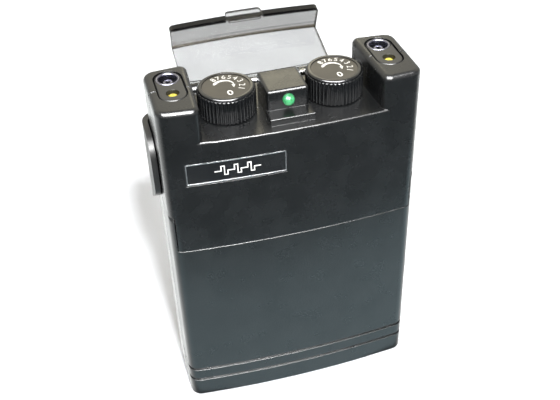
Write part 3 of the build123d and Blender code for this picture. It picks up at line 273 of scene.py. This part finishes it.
def make_battery_wrap():
    """Printed steel can: a dark body with a plain lighter band, fine scratches and a satin varnish."""
    f = Finish("battery_wrap", Metallic=0.35, Coat_Weight=0.5, Coat_Roughness=0.15)
    along = f.add("ShaderNodeSeparateXYZ")
    f.join(f.place, along.inputs["Vector"])
    low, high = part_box("battery_9v")
    share = f.spread(along.outputs["X"], 0.0, 1.0, source=(low.x, high.x))
    plain, band = (0.02, 0.022, 0.026), (0.32, 0.25, 0.12)
    body = f.ramp(share, [(0.0, plain), (0.66, plain), (0.665, band), (0.93, band), (0.935, plain)])
    scratches = f.noise(0.5 * MM, 5.0, (0.2, 3.0, 3.0))
    colour = f.mix(f.spread(scratches, 0.0, 0.5, source=(0.62, 0.8)), body, (0.35, 0.35, 0.35))
    roughness = f.spread(f.noise(4 * MM), 0.25, 0.4)
    return f.finish(colour, roughness, f.bump(scratches, 0.004 * MM, f.soft_edge(0.15 * MM)))


def make_coil_tape():
    """Yellow polyester tape over wound wire, which shows as ridges under it."""
    f = Finish("coil_tape", Coat_Weight=0.6, Coat_Roughness=0.12)
    turns = f.add("ShaderNodeTexWave", bands_direction="Z")
    turns.inputs["Scale"].default_value = 1.0 / (2.4 * MM)
    turns.inputs["Distortion"].default_value = 0.8
    f.join(f.place, turns.inputs["Vector"])
    colour = f.ramp(turns.outputs["Fac"], [(0.0, (0.42, 0.27, 0.02)), (1.0, (0.62, 0.43, 0.05))])
    roughness = f.spread(f.noise(1 * MM), 0.3, 0.45)
    return f.finish(colour, roughness, f.bump(turns.outputs["Fac"], 0.05 * MM))


def make_resistor_coat():
    """Beige lacquer with four plain colour bands across each body."""
    f = Finish("resistor_coat", Coat_Weight=0.5)
    stripes = f.add("ShaderNodeTexWave", bands_direction="X")
    stripes.inputs["Scale"].default_value = 1.0 / (7 * MM)
    f.join(f.place, stripes.inputs["Vector"])
    beige, brown, red = (0.5, 0.36, 0.2), (0.12, 0.04, 0.015), (0.45, 0.03, 0.02)
    bands = [(0.0, beige), (0.3, beige), (0.34, brown), (0.44, brown), (0.48, beige), (0.7, beige),
             (0.74, red), (0.84, red), (0.88, beige)]
    colour = f.ramp(stripes.outputs["Fac"], bands)
    roughness = f.spread(f.noise(0.8 * MM), 0.35, 0.5)
    return f.finish(colour, roughness, f.bump(f.noise(0.3 * MM), 0.01 * MM))


def make_foam():
    """Closed-cell foam with small open pits on its cut faces, with painted shade darkening the pits."""
    f = Finish("foam", Sheen_Weight=0.25)
    cells = f.add("ShaderNodeTexVoronoi", feature="F1")
    cells.inputs["Scale"].default_value = 1.0 / (0.45 * MM)
    f.join(f.place, cells.inputs["Vector"])
    pits = cells.outputs["Distance"]
    # darker towards the middle of each pit: painted shade in the pits
    colour = f.ramp(pits, [(0.0, (0.008, 0.008, 0.008)), (0.7, (0.05, 0.05, 0.052))])
    return f.finish(colour, f.spread(f.noise(0.6 * MM), 0.85, 0.97), f.bump(pits, 0.12 * MM))


FINISHES = {
    "case_plastic": moulded("case_plastic", (0.005, 0.0056, 0.006), (0.008, 0.0088, 0.0094), (0.23, 0.31),
                            grain=0.5 * MM, depth=0.03 * MM, edge=0.18 * MM, wear_and_painted_highlight=(0.03, 0.031, 0.033),
                            IOR=1.5),
    "cover_plastic": moulded("cover_plastic", (0.007, 0.0084, 0.0090), (0.010, 0.0118, 0.0125), (0.26, 0.34),
                             grain=0.5 * MM, depth=0.03 * MM, edge=0.18 * MM,
                             wear_and_painted_highlight=(0.02, 0.021, 0.023), IOR=1.5),
    "clear_plastic": make_clear_plastic(),
    "knob_plastic": moulded("knob_plastic", (0.003, 0.0035, 0.004), (0.006, 0.0066, 0.0075), (0.17, 0.25),
                            depth=0.003 * MM, edge=0.08 * MM, wear_and_painted_highlight=(0.04, 0.042, 0.046), IOR=1.52),
    "dial_face": moulded("dial_face", (0.030, 0.0255, 0.017), (0.044, 0.0375, 0.026), (0.36, 0.48),
                         grain=0.15 * MM),
    "bezel_plastic": moulded("bezel_plastic", (0.016, 0.016, 0.0155), (0.022, 0.022, 0.021), (0.26, 0.36),
                             depth=0.003 * MM),
    "socket_plastic": moulded("socket_plastic", (0.005, 0.005, 0.006), (0.009, 0.009, 0.010), (0.4, 0.55)),
    "plated_contact": metal("plated_contact", (0.14, 0.14, 0.175), (0.23, 0.23, 0.28), (0.2, 0.32),
                            (1.0, 1.0, 6.0)),
    "steel": metal("steel", (0.42, 0.42, 0.43), (0.6, 0.6, 0.61), (0.25, 0.4), (5.0, 1.0, 1.0)),
    "brass": metal("brass", (0.55, 0.38, 0.12), (0.75, 0.55, 0.22), (0.22, 0.38), (1.0, 1.0, 6.0)),
    "yellow_lens": make_lens("yellow_lens", (0.45, 0.34, 0.03), (0.75, 0.63, 0.10), 0.45),
    "green_lens": make_lens("green_lens", (0.03, 0.24, 0.08), (0.08, 0.42, 0.18), 0.08),
    "label_plate": moulded("label_plate", (0.007, 0.008, 0.009), (0.010, 0.011, 0.012), (0.18, 0.28),
                           depth=0.002 * MM, wear_and_painted_highlight=(0.12, 0.12, 0.12)),
    "circuit_board": make_circuit_board(),
    "chip_resin": moulded("chip_resin", (0.008, 0.008, 0.008), (0.014, 0.014, 0.014), (0.5, 0.65)),
    "capacitor_sleeve": moulded("capacitor_sleeve", (0.006, 0.01, 0.045), (0.01, 0.016, 0.07), (0.15, 0.28),
                                depth=0.002 * MM, Coat_Weight=0.5),
    "resistor_coat": make_resistor_coat(),
    "ferrite": moulded("ferrite", (0.02, 0.02, 0.022), (0.04, 0.04, 0.043), (0.4, 0.6), depth=0.01 * MM),
    "coil_tape": make_coil_tape(),
    "control_white": moulded("control_white", (0.74, 0.73, 0.69), (0.84, 0.83, 0.79), (0.35, 0.5)),
    "switch_frame": moulded("switch_frame", (0.012, 0.012, 0.013), (0.02, 0.02, 0.021), (0.4, 0.52)),
    "battery_wrap": make_battery_wrap(),
    "connector_vinyl": moulded("connector_vinyl", (0.008, 0.008, 0.008), (0.013, 0.013, 0.013), (0.35, 0.5)),
    "red_insulation": moulded("red_insulation", (0.36, 0.012, 0.01), (0.46, 0.02, 0.016), (0.28, 0.42)),
    "black_insulation": moulded("black_insulation", (0.007, 0.007, 0.007), (0.012, 0.012, 0.012),
                                (0.3, 0.45)),
    "foam": make_foam(),
    "spring_steel": metal("spring_steel", (0.4, 0.4, 0.41), (0.58, 0.58, 0.6), (0.2, 0.34), (6.0, 1.0, 1.0)),
    "clip_plastic": moulded("clip_plastic", (0.006, 0.006, 0.0057), (0.010, 0.0097, 0.0091), (0.42, 0.54),
                            wear_and_painted_highlight=(0.05, 0.05, 0.05)),
}

for part in frame["record"]["subparts"]:
    node_mesh = frame["nodes"][part["node"]]
    for material_slot in node_mesh.material_slots:
        material_slot.material = FINISHES[part["material_slot"]]


# ---------------------------------------------------------------- pieces
def add_piece(name, mesh, body, slot):
    """Put a finished mesh in the scene, on its body, with its slot's material."""
    piece = bpy.data.objects.new(name, mesh)
    bpy.context.scene.collection.objects.link(piece)
    mesh.materials.clear()
    mesh.materials.append(FINISHES[slot])
    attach(piece, body)
    return piece


def ribbon(bm, left, right, low, high):
    """A closed strip between two rows of (x, y) points, from one height to another."""
    rows = [[bm.verts.new((*point, z)) for point in side] for side in (left, right) for z in (low, high)]
    left_low, left_high, right_low, right_high = rows
    for i in range(len(left) - 1):
        bm.faces.new((left_high[i], left_high[i + 1], right_high[i + 1], right_high[i]))
        bm.faces.new((left_low[i + 1], left_low[i], right_low[i], right_low[i + 1]))
        bm.faces.new((left_low[i], left_low[i + 1], left_high[i + 1], left_high[i]))
        bm.faces.new((right_low[i + 1], right_low[i], right_high[i], right_high[i + 1]))
    for i, end in ((0, 1), (-1, -1)):
        corners = (left_low[i], left_high[i], right_high[i], right_low[i])
        bm.faces.new(corners[::end])


def polar(radius, degrees):
    angle = math.radians(degrees)
    return Vector((radius * math.cos(angle), radius * math.sin(angle)))


INK = 0.02 * MM            # height of printed ink above the surface
INK_SINK = 0.02 * MM       # how far it reaches into the surface
DIGIT_HEIGHT = 1.6 * MM
ZERO_HEIGHT = 2.1 * MM
# angle of each number round the dial, anticlockwise from +X, and its distance from the middle
DIGIT_PLACES = {"8": (122, 4.45), "7": (103, 4.45), "6": (85, 4.45), "5": (66, 4.45), "4": (46, 4.4),
                "3": (22, 4.3), "2": (-7, 4.0), "1": (-31, 4.0)}
ZERO_PLACE = (-84, 3.3)


def text_mesh(character, height, weight):
    """One flat numeral as a mesh, its middle at the origin and its top towards +Y."""
    curve = bpy.data.curves.new("numeral", "FONT")
    curve.body = character
    curve.size = height / 0.7
    curve.offset = weight
    curve.extrude = (INK + INK_SINK) / 2
    curve.resolution_u = 4
    holder = bpy.data.objects.new("numeral", curve)
    bpy.context.scene.collection.objects.link(holder)
    bpy.context.view_layer.update()
    depsgraph = bpy.context.evaluated_depsgraph_get()
    mesh = bpy.data.meshes.new_from_object(holder.evaluated_get(depsgraph))
    bpy.data.objects.remove(holder)
    xs = [v.co.x for v in mesh.vertices]
    ys = [v.co.y for v in mesh.vertices]
    mesh.transform(Matrix.Translation((-(min(xs) + max(xs)) / 2, -(min(ys) + max(ys)) / 2, 0)))
    return mesh


ARROW_STEPS = 28
ARROW_TAIL, ARROW_HEAD = 152.0, 10.0      # angles of the two ends of the arrow's shaft
ARROW_START_R = 2.95                      # millimetres from the middle at its tail
ARROW_CURL = 0.9                          # how much nearer the middle its head is
ARROW_HALF = 0.46                         # half width of its broad end


def dial_arrow(bm, base, top):
    """The curved arrow inside the numbers: broad at its tail, thin at its head, turning clockwise."""
    outer, inner = [], []
    for i in range(ARROW_STEPS + 1):
        share = i / ARROW_STEPS
        degrees = ARROW_TAIL + (ARROW_HEAD - ARROW_TAIL) * share
        middle = ARROW_START_R - ARROW_CURL * share ** 2
        half = ARROW_HALF * min(1.0, 0.55 + share * 6) * (1 - 0.68 * share)
        outer.append(polar((middle + half) * MM, degrees))
        inner.append(polar((middle - half) * MM, degrees))
    ribbon(bm, outer, inner, base, top)
    neck = polar(2.0 * MM, ARROW_HEAD)
    tip = polar(2.1 * MM, ARROW_HEAD - 42)
    across = (tip - neck).orthogonal().normalized() * 0.5 * MM
    corners = [neck + across, tip, neck - across]
    low_row = [bm.verts.new((*point, base)) for point in corners]
    high_row = [bm.verts.new((*point, top)) for point in corners]
    bm.faces.new(high_row)
    bm.faces.new(low_row[::-1])
    for i in range(3):
        bm.faces.new((low_row[i], low_row[(i + 1) % 3], high_row[(i + 1) % 3], high_row[i]))


def make_dial_print(side):
    """White numbers 0 to 8 and the turn arrow, printed on one knob's dial."""
    low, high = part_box("knob_dial_" + side)
    centre = (low + high) / 2
    bm = bmesh.new()
    places = {**{d: (*p, DIGIT_HEIGHT, 0.0) for d, p in DIGIT_PLACES.items()},
              "0": (*ZERO_PLACE, ZERO_HEIGHT, 0.05 * MM)}
    for character, (degrees, radius, height, weight) in places.items():
        mesh = text_mesh(character, height, weight)
        spot = polar(radius * MM, degrees)
        turn = math.radians(degrees - 90) if character != "0" else 0.0
        middle = high.z + (INK - INK_SINK) / 2
        place = Matrix.Translation((centre.x + spot.x, centre.y + spot.y, middle))
        mesh.transform(place @ Matrix.Rotation(turn, 4, "Z"))
        bm.from_mesh(mesh)
        bpy.data.meshes.remove(mesh)
    arrow = bmesh.new()
    dial_arrow(arrow, high.z - INK_SINK, high.z + INK)
    bmesh.ops.translate(arrow, verts=arrow.verts, vec=(centre.x, centre.y, 0))
    bmesh.ops.recalc_face_normals(arrow, faces=arrow.faces)
    arrow_mesh = bpy.data.meshes.new("arrow")
    arrow.to_mesh(arrow_mesh)
    arrow.free()
    bm.from_mesh(arrow_mesh)
    bpy.data.meshes.remove(arrow_mesh)
    mesh = bpy.data.meshes.new("dial_print_" + side)
    bm.to_mesh(mesh)
    bm.free()
    return add_piece("dial_print_" + side, mesh, side + "_knob", "control_white")


for side in SIDES:
    make_dial_print(side)


def face_depth(node, x, z):
    """Y of the front surface of a CAD node at a place on the front."""
    target = frame["nodes"][node]
    start = Vector((x, cad_box[0].y - 0.01, z))
    hit, place, _, _ = target.ray_cast(start, Vector((0, 1, 0)))
    if not hit:
        raise ValueError(f"{node} has no surface at x {x:.4f}, z {z:.4f}")
    return place.y


def strip_on_face(bm, node, line, half_width, raised, sunk):
    """A closed ribbon of one width that follows a line of (x, z) points over a node's front."""
    points = [Vector(point) for point in line]
    edges = ([], [])
    for i, point in enumerate(points):
        before = point - points[i - 1] if i > 0 else points[1] - point
        after = points[i + 1] - point if i < len(points) - 1 else before
        side = (before.normalized() + after.normalized()).normalized().orthogonal()
        cosine = max(side.dot(before.normalized().orthogonal()), 0.5)
        for edge, way in zip(edges, (1, -1)):
            edge.append(point + side * (way * half_width / cosine))
    rows = []
    for edge in edges:
        depth = [face_depth(node, p.x, p.y) for p in edge]
        rows.append([bm.verts.new((p.x, y + sunk, p.y)) for p, y in zip(edge, depth)])
        rows.append([bm.verts.new((p.x, y - raised, p.y)) for p, y in zip(edge, depth)])
    a_low, a_high, b_low, b_high = rows
    for i in range(len(points) - 1):
        bm.faces.new((a_high[i], a_high[i + 1], b_high[i + 1], b_high[i]))
        bm.faces.new((a_low[i + 1], a_low[i], b_low[i], b_low[i + 1]))
        bm.faces.new((a_low[i], a_low[i + 1], a_high[i + 1], a_high[i]))
        bm.faces.new((b_low[i + 1], b_low[i], b_high[i], b_high[i + 1]))
    bm.faces.new((a_low[0], a_high[0], b_high[0], b_low[0]))
    bm.faces.new((a_low[-1], b_low[-1], b_high[-1], a_high[-1]))


def finished_mesh(name, bm):
    bmesh.ops.recalc_face_normals(bm, faces=bm.faces)
    mesh = bpy.data.meshes.new(name)
    bm.to_mesh(mesh)
    bm.free()
    return mesh


MARK_START, MARK_END = 0.28, 0.74        # where the pulse line starts and ends across the plate
MARK_PULSES = 3
MARK_HALF = 0.14 * MM


def make_plate_mark():
    """A plain pulse line printed across the blank name plate."""
    low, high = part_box("name_plate")
    width, middle = high.x - low.x, (low.z + high.z) / 2
    start, end = low.x + MARK_START * width, low.x + MARK_END * width
    up, down = 1.35 * MM, -1.15 * MM
    step = (end - start) / (MARK_PULSES * 2 + 1)
    line = [(start, middle)]
    x = start
    for _ in range(MARK_PULSES):
        x += step
        line += [(x, middle), (x, middle + up), (x + step * 0.5, middle + up)]
        line += [(x + step * 0.5, middle + down), (x + step, middle + down), (x + step, middle)]
        x += step
    line.append((end, middle))
    bm = bmesh.new()
    strip_on_face(bm, "name_plate", line, MARK_HALF, INK, INK_SINK)
    return add_piece("plate_mark", finished_mesh("plate_mark", bm), "root", "control_white")


def make_plate_rim():
    """Thin raised border that runs round the name plate just inside its edge."""
    low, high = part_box("name_plate")
    inset, half_width, raised, sunk = 0.22 * MM, 0.13 * MM, 0.1 * MM, 0.05 * MM
    x0, x1, z0, z1 = low.x + inset, high.x - inset, low.z + inset, high.z - inset
    sections = 16
    across = [x0 + (x1 - x0) * i / sections for i in range(sections + 1)]
    bm = bmesh.new()
    for z in (z0, z1):
        strip_on_face(bm, "name_plate", [(x, z) for x in across], half_width, raised, sunk)
    for x in (x0, x1):
        upright = [(x, z0), (x, (z0 + z1) / 2), (x, z1)]
        strip_on_face(bm, "name_plate", upright, half_width, raised, sunk)
    return add_piece("plate_rim", finished_mesh("plate_rim", bm), "root", "steel")


DIAL_TICKS = 10
FIRST_TICK = 225           # its angle; the others follow clockwise
TICK_STEP = 30
TICK_NEAR, TICK_FAR = 0.35 * MM, 1.15 * MM      # from the edge of the dial
DIAL_TICK_HALF = 0.12 * MM
SWITCH_TICK_HALF = 0.15 * MM


def make_deck_print():
    """White ticks printed on the control deck round the dials and under the switches."""
    bm = bmesh.new()
    for node in ("rate_dial", "width_dial"):
        low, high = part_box(node)
        middle = Vector(((low.x + high.x) / 2, (low.z + high.z) / 2))
        radius = (high.x - low.x) / 2
        for tick in range(DIAL_TICKS):
            way = polar(1.0, FIRST_TICK - tick * TICK_STEP)
            near, far = middle + way * (radius + TICK_NEAR), middle + way * (radius + TICK_FAR)
            strip_on_face(bm, "front_shell", [near, far], DIAL_TICK_HALF, INK, INK_SINK)
    for node in ("mode_switch_slider", "timer_switch_slider"):
        low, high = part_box(node)
        middle = (low.x + high.x) / 2
        for offset in (-3, 0, 3):
            x = middle + offset * MM
            line = [(x, low.z - 1.0 * MM), (x, low.z - 1.8 * MM)]
            strip_on_face(bm, "front_shell", line, SWITCH_TICK_HALF, INK, INK_SINK)
    return add_piece("deck_print", finished_mesh("deck_print", bm), "root", "control_white")


def make_foam_pad():
    """Foam pad behind the battery: crowned faces, rounded edges, a little uneven where it was cut."""
    low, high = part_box("battery_pad")
    size, centre = high - low, (low + high) / 2
    bm = bmesh.new()
    cuts_x, cuts_z = 16, 14
    for way in (-1, 1):
        grid = []
        for i in range(cuts_x + 1):
            u = 2 * i / cuts_x - 1
            column = []
            for k in range(cuts_z + 1):
                v = 2 * k / cuts_z - 1
                crown = (1 - u ** 8) * (1 - v ** 8)
                cut = 0.012 * math.sin(7 * u + 3 * way) * math.sin(5 * v)
                depth = way * (0.25 + (0.22 + cut) * crown) * size.y
                pull = 1 - 0.015 * (1 - abs(v) ** 3) * abs(u) ** 6
                rise = 1 - 0.015 * (1 - abs(u) ** 3) * abs(v) ** 6
                column.append(bm.verts.new((centre.x + u * pull * size.x / 2, centre.y + depth,
                                            centre.z + v * rise * size.z / 2)))
            grid.append(column)
        for i in range(cuts_x):
            for k in range(cuts_z):
                bm.faces.new((grid[i][k], grid[i + 1][k], grid[i + 1][k + 1], grid[i][k + 1]))
    edges = [e for e in bm.edges if len(e.link_faces) == 1]
    bmesh.ops.bridge_loops(bm, edges=edges)
    pad = add_piece("foam_pad", finished_mesh("foam_pad", bm), "root", "foam")
    for polygon in pad.data.polygons:
        polygon.use_smooth = True
    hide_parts("battery_pad")
    return pad


make_plate_mark()
make_plate_rim()
make_deck_print()
make_foam_pad()


# ---------------------------------------------------------------- floor, light and camera
FLOOR_SIZE = 4.0
FLOOR_GAP = 0.05 * MM      # keeps the table top just clear of the case's bottom


def make_floor():
    """Plain pale table top, larger than any view."""
    bm = bmesh.new()
    bmesh.ops.create_grid(bm, x_segments=4, y_segments=4, size=FLOOR_SIZE)
    floor = bpy.data.objects.new("floor", finished_mesh("floor", bm))
    bpy.context.scene.collection.objects.link(floor)
    floor.location.z = cad_box[0].z - FLOOR_GAP
    f = Finish("floor_white", Specular_IOR_Level=0.2)
    colour = f.ramp(f.noise(60 * MM), [(0.3, (0.84, 0.86, 0.91)), (0.7, (0.86, 0.88, 0.93))])
    floor.data.materials.append(f.finish(colour, f.spread(f.noise(20 * MM), 0.7, 0.8)))
    floor.visible_glossy = False


WORLD_STRENGTH = 2.0
WORLD_BLEND = 0.35         # how far to each side of the middle plane the front and back halves mix


def make_world():
    """Soft studio surround: bright and warm behind the object, pale at the horizon, dim in front."""
    world = bpy.data.worlds.new("studio")
    world.use_nodes = True
    bpy.context.scene.world = world
    tree = world.node_tree
    background = tree.nodes["Background"]
    background.inputs["Strength"].default_value = WORLD_STRENGTH
    direction = tree.nodes.new("ShaderNodeSeparateXYZ")
    tree.links.new(tree.nodes.new("ShaderNodeTexCoord").outputs["Generated"], direction.inputs["Vector"])
    height = tree.nodes.new("ShaderNodeMapRange")
    height.inputs["From Min"].default_value = -1.0
    tree.links.new(direction.outputs["Z"], height.inputs["Value"])
    front_stops = ((0.0, (0.12, 0.14, 0.15)), (0.25, (0.07, 0.085, 0.09)), (0.45, (0.06, 0.07, 0.075)),
                   (0.485, (0.52, 0.52, 0.52)), (0.59, (0.52, 0.52, 0.52)), (0.65, (0.08, 0.08, 0.085)),
                   (0.75, (0.10, 0.10, 0.105)), (1.0, (0.22, 0.22, 0.23)))
    back_stops = ((0.0, (1.00, 1.00, 1.00)), (0.42, (0.95, 1.00, 0.98)), (0.52, (0.30, 0.30, 0.29)),
                  (0.68, (0.50, 0.48, 0.42)), (0.82, (0.74, 0.70, 0.59)), (0.92, (0.45, 0.44, 0.40)),
                  (1.0, (0.22, 0.22, 0.23)))
    ramps = []
    for stops in (front_stops, back_stops):
        ramp = tree.nodes.new("ShaderNodeValToRGB")
        fill_ramp(ramp, stops)
        tree.links.new(height.outputs["Result"], ramp.inputs["Fac"])
        ramps.append(ramp)
    turn = tree.nodes.new("ShaderNodeMapRange")
    turn.interpolation_type = "SMOOTHSTEP"
    turn.inputs["From Min"].default_value = -WORLD_BLEND
    turn.inputs["From Max"].default_value = WORLD_BLEND
    tree.links.new(direction.outputs["Y"], turn.inputs["Value"])
    blend = tree.nodes.new("ShaderNodeMix")
    blend.data_type = "RGBA"
    tree.links.new(turn.outputs["Result"], blend.inputs["Factor"])
    tree.links.new(ramps[0].outputs["Color"], blend.inputs[6])
    tree.links.new(ramps[1].outputs["Color"], blend.inputs[7])
    tree.links.new(blend.outputs[2], background.inputs["Color"])


def make_softbox(name, azimuth, elevation, distance, size, radiance, colour=(1, 1, 1),
                 glossy_only=False):
    """A rectangular light that faces the object's middle. Azimuth 0 is in front, 90 to the right."""
    data = bpy.data.lights.new(name, "AREA")
    data.shape = "RECTANGLE"
    data.size, data.size_y = size
    data.color = colour
    data.energy = radiance * math.pi * size[0] * size[1]
    light = bpy.data.objects.new(name, data)
    bpy.context.scene.collection.objects.link(light)
    a, e = math.radians(azimuth), math.radians(elevation)
    out = Vector((math.sin(a) * math.cos(e), -math.cos(a) * math.cos(e), math.sin(e)))
    light.location = (cad_box[0] + cad_box[1]) / 2 + out * distance
    light.rotation_euler = out.to_track_quat("Z", "Y").to_euler()
    light.visible_camera = False
    light.visible_diffuse = not glossy_only
    return light


CARD_REACH = 55 * MM
CARD_WIDTH = 0.22
CARD_OFFSET = 0.02
CARD_COLOUR = (0.68, 0.92, 1.0)
CARD_RADIANCE = 1.1


def make_front_card():
    """Pale card on the table in front, seen only as a reflection in the lower front of the case."""
    near, far = cad_box[0].y, cad_box[0].y - CARD_REACH
    data = bpy.data.lights.new("front_card", "AREA")
    data.shape = "RECTANGLE"
    data.size, data.size_y = CARD_WIDTH, near - far
    data.color = CARD_COLOUR
    data.energy = CARD_RADIANCE * math.pi * data.size * data.size_y
    card = bpy.data.objects.new("front_card", data)
    bpy.context.scene.collection.objects.link(card)
    card.location = (CARD_OFFSET, (near + far) / 2, cad_box[0].z)
    card.rotation_euler = (math.pi, 0, 0)
    card.visible_camera = False
    card.visible_diffuse = False


SENSOR_MM = 36.0
LENS_MM = 54.62
CLIP_START = 0.005
CAMERA_PLACE = (-0.04695, -0.17459, 0.19699)
CAMERA_TURN = (0.91254, 0.02885, -0.27671)


def make_camera():
    """The camera in front of the object, above it and to its left, with no shift or depth of field."""
    data = bpy.data.cameras.new("camera")
    data.sensor_width = SENSOR_MM
    data.lens = LENS_MM
    data.clip_start = CLIP_START
    camera = bpy.data.objects.new("camera", data)
    bpy.context.scene.collection.objects.link(camera)
    camera.location = CAMERA_PLACE
    camera.rotation_euler = CAMERA_TURN
    bpy.context.scene.camera = camera


make_floor()
make_world()
make_softbox("front_softbox", -19, 57, 0.8, (0.92, 0.68), 34.0, glossy_only=True)
make_softbox("back_softbox", 164.5, 29.5, 1.0, (0.15, 0.26), 3.1, colour=(1.0, 0.92, 0.66),
             glossy_only=True)
make_softbox("key_light", 2, 46, 2.0, (0.18, 0.18), 640.0)
make_front_card()
make_camera()
bpy.context.scene.view_settings.view_transform = "Standard"
